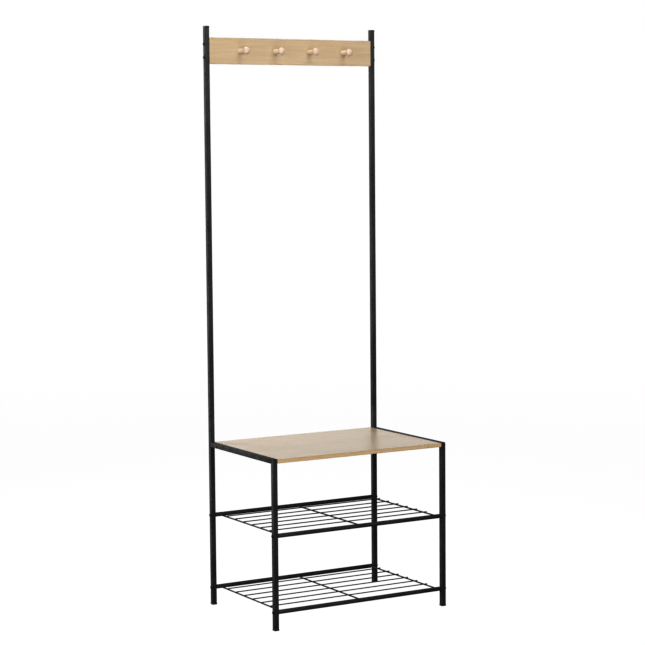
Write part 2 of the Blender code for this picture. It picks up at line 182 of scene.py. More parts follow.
# Shading: an edge this sharp isn't smoothed, and one this bent counts as an edge for wear
SHARP_ANGLE = math.radians(32)
EDGE_ANGLE = math.radians(8)

# Parts of node names
SIDES = {"left": -1, "right": 1}
ROWS = ("front", "rear")
SHELVES = ("upper", "lower")
LEVELS = ("upper", "lower")
JOINT_BOLT_NUMBERS = (1, 2)


# ---------------------------------------------------------------- mesh helpers


def bridge(bm, ring_a, ring_b):
    """Four-sided faces between two rings with the same number of points."""
    count = len(ring_a)
    for i in range(count):
        j = (i + 1) % count
        bm.faces.new((ring_a[i], ring_a[j], ring_b[j], ring_b[i]))


def loft(rings, closed=False):
    """A solid through rings of points: capped at both ends, or joined end to end if closed."""
    bm = bmesh.new()
    made = [[bm.verts.new(point) for point in ring] for ring in rings]
    for low, high in zip(made, made[1:]):
        bridge(bm, low, high)
    if closed:
        bridge(bm, made[-1], made[0])
    else:
        bm.faces.new(made[0])
        bm.faces.new(made[-1])
    return bm


def square_ring(size, corner, height):
    """A square with round corners at a height, with a point on each flat close to each corner.

    height is a number or a function of (x, y).
    """
    level = height if callable(height) else lambda x, y: height
    straight = size / 2 - corner
    points = []
    for quarter in range(4):
        center_x = straight * (1 if quarter in (0, 3) else -1)
        center_y = straight * (1 if quarter in (0, 1) else -1)
        start = QUARTER_TURN * quarter
        arc = []
        for step in range(CORNER_STEPS + 1):
            angle = start + QUARTER_TURN * step / CORNER_STEPS
            arc.append((center_x + corner * math.cos(angle), center_y + corner * math.sin(angle)))
        before = (arc[0][0] + FLAT_MARGIN * math.sin(start), arc[0][1] - FLAT_MARGIN * math.cos(start))
        end = start + QUARTER_TURN
        after = (arc[-1][0] - FLAT_MARGIN * math.sin(end), arc[-1][1] + FLAT_MARGIN * math.cos(end))
        points += [before, *arc, after]
    return [(x, y, level(x, y)) for x, y in points]


def circle_ring(radius, height, sides):
    """Points round Z at a height."""
    turn = math.tau / sides
    return [(radius * math.cos(turn * i), radius * math.sin(turn * i), height) for i in range(sides)]


def turned(profile, sides):
    """A solid turned about Z from (radius, z) points. It has a point at each end where the radius is 0."""
    bm = bmesh.new()
    rings = []
    for radius, z in profile:
        if radius == 0:
            rings.append([bm.verts.new((0, 0, z))])
        else:
            rings.append([bm.verts.new(point) for point in circle_ring(radius, z, sides)])
    for low, high in zip(rings, rings[1:]):
        for i in range(sides):
            j = (i + 1) % sides
            corners = [low[i % len(low)], low[j % len(low)], high[j % len(high)], high[i % len(high)]]
            bm.faces.new(dict.fromkeys(corners))
    return bm


def append(bm, other, place):
    """Add another bmesh's faces to this one, moved by a matrix."""
    bmesh.ops.recalc_face_normals(other, faces=other.faces)
    moved = bpy.data.meshes.new("moved")
    other.to_mesh(moved)
    other.free()
    moved.transform(place)
    bm.from_mesh(moved)
    bpy.data.meshes.remove(moved)


def add_turned(bm, profile, sides, place):
    """Add a turned solid to a bmesh, moved by a matrix."""
    append(bm, turned(profile, sides), place)


def along(start, end):
    """The matrix that puts +Z from start towards end."""
    start = Vector(start)
    direction = Vector(end) - start
    return Matrix.Translation(start) @ direction.to_track_quat("Z", "Y").to_matrix().to_4x4()


def new_object(name, bm):
    """An object in the scene from a bmesh, which is freed."""
    bmesh.ops.recalc_face_normals(bm, faces=bm.faces)
    mesh = bpy.data.meshes.new(name)
    bm.to_mesh(mesh)
    bm.free()
    made = bpy.data.objects.new(name, mesh)
    bpy.context.scene.collection.objects.link(made)
    return made


def combine(target, bm, operation):
    """Cut a bmesh from an object or join it on, and keep the result as the object's plain mesh."""
    tool = new_object(target.name + "_tool", bm)
    modifier = target.modifiers.new("combine", "BOOLEAN")
    modifier.operation = operation
    modifier.object = tool
    bpy.context.view_layer.update()
    graph = bpy.context.evaluated_depsgraph_get()
    mesh = bpy.data.meshes.new_from_object(target.evaluated_get(graph))
    target.modifiers.clear()
    old = target.data
    target.data = mesh
    mesh.name = target.name
    bpy.data.meshes.remove(old)
    bpy.data.objects.remove(tool, do_unlink=True)


def mark_edges(mesh):
    """Store a point attribute, edge, that is 1 where the surface bends and 0 on flat faces."""
    bm = bmesh.new()
    bm.from_mesh(mesh)
    values = []
    for vert in bm.verts:
        bends = [edge.calc_face_angle(0.0) for edge in vert.link_edges]
        values.append(1.0 if bends and max(bends) > EDGE_ANGLE else 0.0)
    bm.free()
    attribute = mesh.attributes.new("edge", "FLOAT", "POINT")
    attribute.data.foreach_set("value", values)


def finish_piece(made, materials, nodes=()):
    """Shade an object, give it its materials and put it on the frame in place of CAD nodes.

    Slots that it already has keep their faces, so a board's edge band stays on its edges.
    """
    mesh = made.data
    mesh.shade_smooth()
    mesh.set_sharp_from_angle(angle=SHARP_ANGLE)
    mark_edges(mesh)
    for number, finish in enumerate(materials):
        if number < len(mesh.materials):
            mesh.materials[number] = finish
        else:
            mesh.materials.append(finish)
    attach(made, "root")
    if nodes:
        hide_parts(*nodes)


def middle(node):
    """The centre of a CAD node's box."""
    low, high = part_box(node)
    return (low + high) / 2


# ---------------------------------------------------------------- material helpers


class Finish:
    """A material's node tree, with short calls that add nodes and link them."""

    def __init__(self, name):
        self.material = bpy.data.materials.new(name)
        self.material.use_nodes = True
        self.nodes = self.material.node_tree.nodes
        self.links = self.material.node_tree.links
        self.shader = self.nodes["Principled BSDF"]
        self.coords = self.nodes.new("ShaderNodeTexCoord").outputs["Object"]

    def set(self, socket, value):
        """Set one of the shader's inputs to a fixed value."""
        self.shader.inputs[socket].default_value = value

    def drive(self, socket, source):
        """Link one of the shader's inputs."""
        self.links.new(source, self.shader.inputs[socket])

    def feed(self, socket, value):
        """Link a node's input, or set it, whichever the value calls for."""
        if isinstance(value, bpy.types.NodeSocket):
            self.links.new(value, socket)
        else:
            socket.default_value = value

    def stretched(self, scale, offset=(0, 0, 0)):
        """The object's own coordinates, in metres, times a scale for each axis."""
        node = self.nodes.new("ShaderNodeMapping")
        self.links.new(self.coords, node.inputs["Vector"])
        node.inputs["Scale"].default_value = scale
        node.inputs["Location"].default_value = offset
        return node.outputs["Vector"]

    def noise(self, vector, detail=3.0, roughness=0.5):
        """Noise whose scale is in the vector, from stretched()."""
        node = self.nodes.new("ShaderNodeTexNoise")
        self.links.new(vector, node.inputs["Vector"])
        node.inputs["Scale"].default_value = 1.0
        node.inputs["Detail"].default_value = detail
        node.inputs["Roughness"].default_value = roughness
        return node.outputs["Fac"]

    def math(self, operation, first, second=0.0):
        """Arithmetic on sockets and numbers."""
        node = self.nodes.new("ShaderNodeMath")
        node.operation = operation
        self.feed(node.inputs[0], first)
        self.feed(node.inputs[1], second)
        return node.outputs["Value"]

    def remap(self, value, low, high, to_low=0.0, to_high=1.0):
        """Take low..high to to_low..to_high, with a soft start and end."""
        node = self.nodes.new("ShaderNodeMapRange")
        node.interpolation_type = "SMOOTHSTEP"
        self.links.new(value, node.inputs["Value"])
        node.inputs["From Min"].default_value = low
        node.inputs["From Max"].default_value = high
        node.inputs["To Min"].default_value = to_low
        node.inputs["To Max"].default_value = to_high
        return node.outputs["Result"]

    def mix(self, factor, first, second, blend="MIX"):
        """Mix two colours, given as (r, g, b) or as sockets."""
        node = self.nodes.new("ShaderNodeMixRGB")
        node.blend_type = blend
        self.feed(node.inputs["Fac"], factor)
        for socket, color in (("Color1", first), ("Color2", second)):
            linked = isinstance(color, bpy.types.NodeSocket)
            self.feed(node.inputs[socket], color if linked else (*color, 1))
        return node.outputs["Color"]

    def attribute(self, name):
        """A value stored on the mesh, such as edge from mark_edges()."""
        node = self.nodes.new("ShaderNodeAttribute")
        node.attribute_name = name
        return node.outputs["Fac"]

    def bump(self, height, distance, strength):
        """A bumped normal, for a height from 0 to 1 that stands for a distance in metres."""
        node = self.nodes.new("ShaderNodeBump")
        node.inputs["Distance"].default_value = distance
        node.inputs["Strength"].default_value = strength
        self.links.new(height, node.inputs["Height"])
        return node.outputs["Normal"]


# ---------------------------------------------------------------- materials


def powder_coat():
    """Satin black powder coat: a fine orange-peel skin, uneven gloss and thin, lighter edges."""
    finish = Finish("black_powder_coat")
    patches = finish.noise(finish.stretched((30, 30, 12)), detail=3)
    grain = finish.noise(finish.stretched((900, 900, 900)), detail=2)
    worn = finish.math("MULTIPLY", finish.attribute("edge"), finish.remap(patches, 0.35, 0.75))
    color = finish.mix(finish.remap(patches, 0.3, 0.7), (0.0219, 0.0215, 0.0218), (0.0262, 0.0256, 0.0253))
    color = finish.mix(worn, color, (0.031, 0.030, 0.029))
    finish.drive("Base Color", color)
    gloss = finish.remap(finish.noise(finish.stretched((140, 140, 60)), detail=2), 0.25, 0.75, 0.76, 0.86)
    finish.drive("Roughness", finish.math("SUBTRACT", gloss, finish.math("MULTIPLY", worn, 0.10)))
    finish.drive("Normal", finish.bump(grain, 0.05 * MM, strength=0.35))
    finish.set("Specular IOR Level", 0.22)
    return finish.material


def black_bolt():
    """Painted steel of the bolt heads: smoother than the tubes, rubbed bright on its edges."""
    finish = Finish("black_bolt")
    spots = finish.noise(finish.stretched((400, 400, 400)), detail=3)
    rubbed = finish.math("MULTIPLY", finish.attribute("edge"), finish.remap(spots, 0.40, 0.70))
    color = finish.mix(finish.remap(spots, 0.3, 0.7), (0.007, 0.007, 0.007), (0.012, 0.012, 0.012))
    finish.drive("Base Color", finish.mix(rubbed, color, (0.024, 0.024, 0.025)))
    finish.drive("Roughness", finish.remap(spots, 0.2, 0.8, 0.42, 0.56))
    grain = finish.noise(finish.stretched((2200, 2200, 2200)))
    finish.drive("Normal", finish.bump(grain, 0.02 * MM, strength=0.3))
    finish.set("Metallic", 0.15)
    finish.set("Specular IOR Level", 0.35)
    return finish.material


def black_plastic():
    """Moulded plastic of the caps: matt, with a fine spark-eroded grain and a few scuffs."""
    finish = Finish("black_plastic")
    grain = finish.noise(finish.stretched((2600, 2600, 2600)), detail=2)
    scuffs = finish.noise(finish.stretched((120, 700, 500)), detail=4, roughness=0.65)
    scuffed = finish.math("MULTIPLY", finish.attribute("edge"), finish.remap(scuffs, 0.45, 0.65))
    color = finish.mix(finish.remap(scuffs, 0.35, 0.7), (0.010, 0.010, 0.010), (0.015, 0.015, 0.015))
    finish.drive("Base Color", finish.mix(scuffed, color, (0.035, 0.035, 0.035)))
    finish.drive("Roughness", finish.remap(scuffs, 0.3, 0.7, 0.50, 0.64))
    finish.drive("Normal", finish.bump(grain, 0.04 * MM, strength=0.4))
    return finish.material


def oak_grain(finish, light, dark, pore):
    """Oak figure along X, for a face across Y or Z: the colour, and the height of its pores."""
    drift = finish.noise(finish.stretched((2.2, 11, 11)), detail=2, roughness=0.45)
    cross = finish.nodes.new("ShaderNodeSeparateXYZ")
    finish.links.new(finish.coords, cross.inputs["Vector"])
    across = finish.math("ADD", cross.outputs["Y"], cross.outputs["Z"])
    phase = finish.math("ADD", finish.math("MULTIPLY", across, 62.0), finish.math("MULTIPLY", drift, 7.0))
    bands = finish.math("MULTIPLY", finish.math("SINE", finish.math("MULTIPLY", phase, math.tau)), 0.5)
    bands = finish.math("ADD", bands, 0.5)
    tone = finish.noise(finish.stretched((1.6, 9, 9), (3, 1, 2)), detail=2)
    fibres = finish.noise(finish.stretched((9, 420, 420)), detail=4, roughness=0.6)
    streaks = finish.noise(finish.stretched((6, 150, 150), (7, 0, 3)), detail=3, roughness=0.55)
    flecks = finish.noise(finish.stretched((45, 260, 260), (0, 5, 0)), detail=2)
    pores = finish.noise(finish.stretched((110, 2300, 2300)), detail=1)
    color = finish.mix(finish.remap(tone, 0.30, 0.70, 0.0, 0.55), light, dark)
    color = finish.mix(finish.math("MULTIPLY", finish.math("POWER", bands, 2.5), 0.34), color, dark)
    color = finish.mix(finish.remap(streaks, 0.38, 0.66, 0.0, 0.50), color, dark)
    color = finish.mix(finish.remap(fibres, 0.35, 0.70, 0.0, 0.35), color, dark)
    color = finish.mix(finish.remap(flecks, 0.62, 0.80, 0.0, 0.30), color, light)
    pitting = finish.remap(bands, 0.1, 0.8, 0.25, 0.8)
    pitted = finish.math("MULTIPLY", finish.remap(pores, 0.60, 0.72), pitting)
    return finish.mix(pitted, color, pore), pitted


def oak(name, light, dark, shine=0.5):
    """Oak-effect laminate with its grain along X, satin, with pressed pores."""
    finish = Finish(name)
    color, pitted = oak_grain(finish, light, dark, (0.280, 0.196, 0.116))
    finish.drive("Base Color", color)
    gloss = finish.noise(finish.stretched((20, 160, 160)), detail=3)
    gloss = finish.remap(gloss, 0.3, 0.7, 0.30, 0.38)
    finish.drive("Roughness", finish.math("ADD", gloss, finish.math("MULTIPLY", pitted, 0.15)))
    finish.drive("Normal", finish.bump(finish.math("SUBTRACT", 1.0, pitted), 0.03 * MM, strength=0.5))
    finish.set("Specular IOR Level", shine)
    return finish.material


def board_laminate():
    """The hook board's front and back."""
    return oak("oak_laminate", light=(0.385, 0.307, 0.211), dark=(0.296, 0.228, 0.148))


def seat_oak_painted_sheen():
    """The seat's top and underside: the board's oak retuned to its light, a little greyer: painted sheen.
    """
    return oak("oak_seat_painted_sheen", light=(0.398, 0.317, 0.225), dark=(0.314, 0.244, 0.164))


def edge_band():
    """The boards' edge band: the same oak, a shade more ochre."""
    return oak("oak_edge_band", light=(0.525, 0.388, 0.230), dark=(0.440, 0.320, 0.184), shine=0.2)


def turned_beech():
    """Turned beech, clear lacquered: growth rings across the peg's axis and short flecks along it.

    Beyond the neck it is darker and pinker: painted shade on the knob, whose face is turned to the lamps.
    """
    finish = Finish("turned_beech")
    place = finish.nodes.new("ShaderNodeSeparateXYZ")
    finish.links.new(finish.coords, place.inputs["Vector"])
    warp = finish.noise(finish.stretched((40, 12, 40)), detail=2)
    across = finish.math("ADD", finish.math("MULTIPLY", place.outputs["X"], 0.35), place.outputs["Z"])
    phase = finish.math("ADD", finish.math("MULTIPLY", across, 420.0), finish.math("MULTIPLY", warp, 2.4))
    rings = finish.math("ADD", finish.math("MULTIPLY", finish.math("SINE", phase), 0.5), 0.5)
    fibres = finish.noise(finish.stretched((1300, 90, 1300)), detail=3)
    flecks = finish.noise(finish.stretched((2600, 420, 900)), detail=1)
    tone = finish.noise(finish.stretched((14, 14, 14)), detail=1)
    light = (0.560, 0.450, 0.335)
    dark = (0.480, 0.372, 0.262)
    # painted shade for the knob: a multiplier that darkens it and shifts it pink, as its face is turned to
    # the lamps
    knob_shade_tint = (0.755, 0.745, 0.805)
    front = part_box("hook_board")[0].y
    # ends: the share of the painted shade, full at the knob and none before the neck
    ends = finish.remap(place.outputs["Y"], front - PEG_KNOB_AT, front - PEG_NECK_AT, 1.0, 0.0)
    color = finish.mix(finish.remap(tone, 0.3, 0.7, 0.0, 0.4), light, dark)
    color = finish.mix(finish.math("MULTIPLY", rings, 0.35), color, dark)
    color = finish.mix(finish.remap(fibres, 0.35, 0.7, 0.0, 0.25), color, dark)
    fleck = finish.remap(flecks, 0.64, 0.74, 0.0, 0.55)
    color = finish.mix(fleck, color, (0.420, 0.230, 0.120))
    finish.drive("Base Color", finish.mix(ends, color, knob_shade_tint, blend="MULTIPLY"))
    finish.drive("Roughness", finish.remap(fibres, 0.3, 0.7, 0.48, 0.60))
    finish.drive("Normal", finish.bump(fibres, 0.02 * MM, strength=0.4))
    finish.set("Coat Weight", 0.05)
    finish.set("Coat Roughness", 0.40)
    finish.set("Specular IOR Level", 0.25)
    return finish.material


def zinc_screw():
    """Bright zinc plate with a faint yellow and blue cast and fine turning marks."""
    finish = Finish("zinc_screw")
    cast = finish.noise(finish.stretched((300, 300, 300)), detail=2)
    marks = finish.noise(finish.stretched((3000, 300, 3000)), detail=2)
    finish.drive("Base Color", finish.mix(cast, (0.34, 0.345, 0.36), (0.39, 0.375, 0.33)))
    finish.drive("Roughness", finish.remap(marks, 0.3, 0.7, 0.38, 0.52))
    finish.drive("Normal", finish.bump(marks, 0.01 * MM, strength=0.3))
    finish.set("Metallic", 1.0)
    return finish.material


# ---------------------------------------------------------------- tubes and caps


def tube_rings(size, length, mitre):
    """Rings round a square tube along +Z: up its outside with rounded ends, and down its bore.

    A mitre of 1 slopes the far end at 45 degrees down towards +Y.
    """
    half = size / 2

    def ring(inset, corner, height, slope):
        return square_ring(size - 2 * inset, corner, lambda x, y: height - slope * (y + half))

    lip = TUBE_END_ROUND
    corner = TUBE_CORNER
    inner = TUBE_CORNER - TUBE_WALL
    return [
        ring(lip, corner - lip, 0, 0),
        ring(EASE * lip, corner - EASE * lip, EASE * lip, 0),
        ring(0, corner, lip, 0),
        ring(0, corner, length - lip, mitre),
        ring(EASE * lip, corner - EASE * lip, length - EASE * lip, mitre),
        ring(lip, corner - lip, length, mitre),
        ring(TUBE_WALL, inner, length, mitre),
        ring(TUBE_WALL, inner, 0, 0),
    ]


def side_hole(bm, side, node, radius, depth):
    """A drill for one bolt or screw: along X, from outside the rack, at the height of its node."""
    at = middle(node)
    outer = side * TUBE_OUTER
    start = (outer + side * DRILL_PAST, at.y, at.z)
    end = (outer - side * depth, at.y, at.z)
    reach = depth + DRILL_PAST
    add_turned(bm, [(0, 0), (radius, 0), (radius, reach), (0, reach)], THIN_SIDES, along(start, end))


def square_tube(name, low, high, holes, mitre=0.0):
    """An upright tube between two corners of its box, with its bolt holes."""
    size = high.x - low.x
    made = new_object(name, loft(tube_rings(size, high.z - low.z, mitre), closed=True))
    made.data.transform(Matrix.Translation(((low.x + high.x) / 2, (low.y + high.y) / 2, low.z)))
    drill(made, holes)
    return made


def drill(made, holes):
    """Cut the holes in a list of (side, node, radius, depth) from a piece."""
    if holes:
        bits = bmesh.new()
        for hole in holes:
            side_hole(bits, *hole)
        combine(made, bits, "DIFFERENCE")


def holes_for(side_name, names, shank, depth):
    """What drill() needs for a row of bolts or screws on one side."""
    return [(SIDES[side_name], name, shank + HOLE_PLAY, depth) for name in names]


def shelf_bolt_holes(side_name, row_name):
    """Holes right through one leg, for the bolts into the shelf rails."""
    names = [f"{side_name}_{row_name}_{shelf}_shelf_bolt" for shelf in SHELVES]
    return holes_for(side_name, names, SHANK, TUBE_SIZE + DRILL_PAST)


def joint_bolt_holes(side_name, seam):
    """Holes in the outer wall above a seam, for the bolts into the inner joint tube."""
    names = [f"{side_name}_{seam}_joint_bolt_{number}" for number in JOINT_BOLT_NUMBERS]
    return holes_for(side_name, names, SHANK, TUBE_SIZE / 2)


def board_bolt_holes(side_name, depth):
    """Holes to a depth from outside, for the bolts into the hook board's end."""
    names = [f"{side_name}_{level}_hook_board_bolt" for level in LEVELS]
    return holes_for(side_name, names, SHANK, depth)


def seat_screw_holes(side_name, depth):
    """Holes to a depth from outside, for the screws into the seat board's end."""
    names = [f"{side_name}_{row}_seat_screw" for row in ROWS]
    return holes_for(side_name, names, SCREW_SHANK, depth)


def uprights(side_name, finish):
    """The rear leg, the middle upright and the top upright, end to end."""
    holes = {
        "rear_leg": shelf_bolt_holes(side_name, "rear"),
        "middle_upright": joint_bolt_holes(side_name, "lower"),
        "top_upright": joint_bolt_holes(side_name, "upper"),
    }
    holes["top_upright"] += board_bolt_holes(side_name, TUBE_SIZE + DRILL_PAST)
    for part, drilled in holes.items():
        node = f"{side_name}_{part}"
        made = square_tube(f"{node}_tube", *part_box(node), drilled)
        finish_piece(made, [finish], [node])


def side_frame(side_name, finish):
    """The front leg and the seat rail, closed at their mitre, with the welds at the rail's rear end."""
    leg = f"{side_name}_front_leg"
    rail = f"{side_name}_seat_rail"
    low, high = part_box(leg)
    rail_low, rail_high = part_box(rail)
    high.z = rail_high.z  # the sharp end of the leg's mitre
    made = square_tube(f"{leg}_tube", low, high, shelf_bolt_holes(side_name, "front"), mitre=1.0)
    finish_piece(made, [finish], [leg])

    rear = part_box(f"{side_name}_rear_leg")[0].y
    size = rail_high.z - rail_low.z
    made = new_object(f"{rail}_tube", loft(tube_rings(size, rear - low.y, 1.0), closed=True))
    forward = Matrix(((1, 0, 0), (0, 0, -1), (0, -1, 0))).to_4x4()
    made.data.transform(forward)
    center = middle(rail)
    made.data.transform(Matrix.Translation((center.x, rear, center.z)))
    drill(made, seat_screw_holes(side_name, TUBE_SIZE + DRILL_PAST))
    finish_piece(made, [finish], [rail])

    beads = bmesh.new()
    for z in (rail_low.z, rail_high.z):
        weld_bead(beads, (center.x, rear, z), size - 2 * TUBE_CORNER)
    made = new_object(f"{rail}_welds", beads)
    finish_piece(made, [finish])


def weld_bead(bm, center, length):
    """A short rippled fillet bead along X."""
    rings = []
    for step in range(BEAD_STEPS + 1):
        share = step / BEAD_STEPS
        ripple = 1 + BEAD_RIPPLE_SHARE * math.sin(math.tau * share * BEAD_RIPPLES)
        inside = min(max(share, BEAD_END_SHARE), 1 - BEAD_END_SHARE)
        ends = math.sin(math.pi * inside) ** BEAD_ROUNDING
        radius = BEAD_RADIUS * ripple * ends
        rings.append(circle_ring(radius, (share - 0.5) * length, THIN_SIDES))
    append(bm, loft(rings), Matrix.Translation(center) @ Euler((0, QUARTER_TURN, 0)).to_matrix().to_4x4())


def cap_rings(outline):
    """Rings of a square cap from (inset from the flange, corner, z) values."""
    return [square_ring(CAP_SIZE - 2 * inset, corner, z) for inset, corner, z in outline]


def rounded_rim(radius, z, side):
    """Insets and heights round a rim's quarter circle; side is 1 for an upper rim and -1 for a lower."""
    points = []
    for step in range(RIM_STEPS + 1):
        angle = QUARTER_TURN * step / RIM_STEPS
        points.append((radius * (1 - math.cos(angle)), z + side * radius * (math.sin(angle) - 1)))
    return points


def cap(node, outline, finish):
    """One cap from its outline, over or under the tube that its node is on."""
    made = new_object(f"{node}_moulding", loft(cap_rings(outline)))
    made.data.transform(Matrix.Translation((middle(node).x, middle(node).y, 0)))
    finish_piece(made, [finish], [node])


def caps(side_name, finish):
    """The plastic caps under the two legs and on the upright, each with its plug inside the tube."""
    plug = (CAP_SIZE - PLUG_SIZE) / 2
    plug_corner = TUBE_CORNER / 2
    for row_name in ROWS:
        node = f"{side_name}_{row_name}_foot_cap"
        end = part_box(node)[1].z
        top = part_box(f"{side_name}_rear_leg")[0].z
        outline = [(FOOT_RIM + FOOT_FLAT, TUBE_CORNER, 0)]
        outline += [(inset, TUBE_CORNER, z) for inset, z in reversed(rounded_rim(FOOT_RIM, 0, -1))]
        outline += [(inset, TUBE_CORNER, z) for inset, z in rounded_rim(CAP_LIP, top, 1)]
        outline += [(plug, plug_corner, top), (plug, plug_corner, end - CAP_LIP)]
        outline += [(plug + CAP_LIP, plug_corner, end)]
        cap(node, outline, finish)
    node = f"{side_name}_top_cap"
    low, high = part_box(node)
    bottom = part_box(f"{side_name}_top_upright")[1].z
    outline = [(plug + CAP_LIP, plug_corner, low.z), (plug, plug_corner, low.z + CAP_LIP)]
    outline += [(plug, plug_corner, bottom)]
    outline += [(inset, TUBE_CORNER, z) for inset, z in reversed(rounded_rim(CAP_LIP, bottom, -1))]
    outline += [(inset, TUBE_CORNER, z) for inset, z in rounded_rim(TOP_RIM, high.z - TOP_CROWN, 1)]
    outline += [(TOP_RIM + TOP_SHOULDER, TUBE_CORNER, high.z - TOP_CROWN / 4)]
    outline += [(TOP_RIM + TOP_FLAT, TUBE_CORNER, high.z)]
    cap(node, outline, finish)


# ---------------------------------------------------------------- boards and pegs


def board_piece(node, thin_axis, faces, band):
    """A board with rounded edges: its two faces in laminate, and the rest in edge band."""
    low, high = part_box(node)
    bm = bmesh.new()
    bmesh.ops.create_cube(bm, size=1.0)
    bmesh.ops.scale(bm, vec=high - low, verts=bm.verts)
    bmesh.ops.translate(bm, vec=(low + high) / 2, verts=bm.verts)
    rounding = {"offset": BOARD_EDGE, "segments": BOARD_EDGE_STEPS, "profile": 0.5, "affect": "EDGES"}
    bmesh.ops.bevel(bm, geom=bm.edges[:], **rounding)
    sides = [face for face in bm.faces if face.calc_area() > BOARD_SIDE ** 2]
    bmesh.ops.inset_individual(bm, faces=sides, thickness=FLAT_MARGIN)
    bmesh.ops.recalc_face_normals(bm, faces=bm.faces)
    for face in bm.faces:
        face.material_index = 0 if abs(face.normal[thin_axis]) > FLAT_FACE else 1
    made = new_object(f"{node}_panel", bm)
    made.data.materials.append(faces)
    made.data.materials.append(band)
    return made


def seat(faces, band):
    """The seat board, with the holes for its screws in both ends."""
    made = board_piece("seat_board", 2, faces, band)
    drill(made, [hole for side_name in SIDES for hole in seat_screw_holes(side_name, SEAT_SCREW_LENGTH)])
    finish_piece(made, [faces, band], ["seat_board"])


def hook_board(faces, band):
    """The hook board, with its bolt holes and its countersinks for the pegs' screws."""
    made = board_piece("hook_board", 1, faces, band)
    drill(made, [hole for side_name in SIDES for hole in board_bolt_holes(side_name, BOARD_BOLT_LENGTH)])
    bits = bmesh.new()
    low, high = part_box("hook_board")
    wide = COUNTERSUNK_HEAD + HOLE_PLAY
    narrow = COUNTERSUNK_SHANK + HOLE_PLAY
    depth = high.y - low.y + DRILL_PAST
    profile = [(0, -depth), (narrow, -depth), (narrow, narrow - wide)]
    profile += [(wide + DRILL_PAST, DRILL_PAST), (0, DRILL_PAST)]
    for number in PEG_NUMBERS:
        at = middle(f"peg_screw_{number}")
        add_turned(bits, profile, BOLT_SIDES, along((at.x, high.y, at.z), (at.x, high.y + 1, at.z)))
    combine(made, bits, "DIFFERENCE")
    finish_piece(made, [faces, band], ["hook_board"])


def peg_profile():
    """Half the outline of a turned peg from its foot on the board to the tip of its knob."""
    profile = [(0, 0), (PEG_SHAFT - PEG_FOOT_CHAMFER, 0)]
    profile += [(PEG_SHAFT, PEG_FOOT_CHAMFER), (PEG_SHAFT, PEG_TAPER_FROM)]
    for step in range(1, PEG_TAPER_STEPS + 1):
        share = step / PEG_TAPER_STEPS
        eased = share * share * (3 - 2 * share)
        radius = PEG_SHAFT + (PEG_NECK - PEG_SHAFT) * eased
        profile.append((radius, PEG_TAPER_FROM + (PEG_NECK_AT - PEG_TAPER_FROM) * share))
    start = -math.acos((PEG_NECK + PEG_COVE) / PEG_KNOB)
    for step in range(PEG_KNOB_STEPS):
        angle = start + (QUARTER_TURN - start) * step / PEG_KNOB_STEPS
        profile.append((PEG_KNOB * math.cos(angle), PEG_KNOB_AT + PEG_KNOB_HALF_THICK * math.sin(angle)))
    profile.append((0, PEG_KNOB_AT + PEG_KNOB_HALF_THICK))
    return profile


def pegs(finish):
    """The four turned pegs, standing out from the hook board's front."""
    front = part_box("hook_board")[0].y
    for number in PEG_NUMBERS:
        node = f"hook_peg_{number}"
        at = middle(node)
        bm = bmesh.new()
        add_turned(bm, peg_profile(), PEG_SIDES, along((at.x, front, at.z), (at.x, front - 1, at.z)))
        finish_piece(new_object(f"{node}_turning", bm), [finish], [node])


# ---------------------------------------------------------------- shelves


def shelf_rails(shelf, finish):
    """Front and rear rails of round tube, with the bolt's threaded plug in each end."""
    for row_name in ROWS:
        node = f"{shelf}_shelf_{row_name}_rail"
        low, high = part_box(node)
        radius = (high.z - low.z) / 2
        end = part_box(f"right_{row_name}_leg")[0].x
        length = 2 * end
        lip = TUBE_END_ROUND
        loop = [(radius - lip, 0), (radius - EASE * lip, EASE * lip), (radius, lip)]
        loop += [(r, length - z) for r, z in reversed(loop)]
        thread = SHANK + HOLE_PLAY
        wall = radius - RAIL_WALL
        loop += [(thread, length), (thread, length - RAIL_PLUG), (wall, length - RAIL_PLUG)]
        loop += [(wall, RAIL_PLUG), (thread, RAIL_PLUG), (thread, 0)]
        tube = loft([circle_ring(r, z, RAIL_SIDES) for r, z in loop], closed=True)
        made = new_object(f"{node}_tube", tube)
        at = middle(node)
        made.data.transform(along((-end, at.y, at.z), (0, at.y, at.z)))
        finish_piece(made, [finish], [node])


def wire_profile(radius, length, welded):
    """Half the outline of a wire: flared where it is welded to the rails, or with rounded cut ends."""
    if welded:
        end = [(0, 0), (radius + WIRE_FLARE, 0)]
        for step in range(1, FLARE_STEPS + 1):
            share = step / FLARE_STEPS
            end.append((radius + WIRE_FLARE * (1 - share) ** FLARE_CURVE, FLARE_LENGTH * share))
    else:
        lip = WIRE_END_ROUND
        end = [(0, 0), (radius - lip, 0), (radius - EASE * lip, EASE * lip), (radius, lip)]
    return end + [(r, length - z) for r, z in reversed(end)]


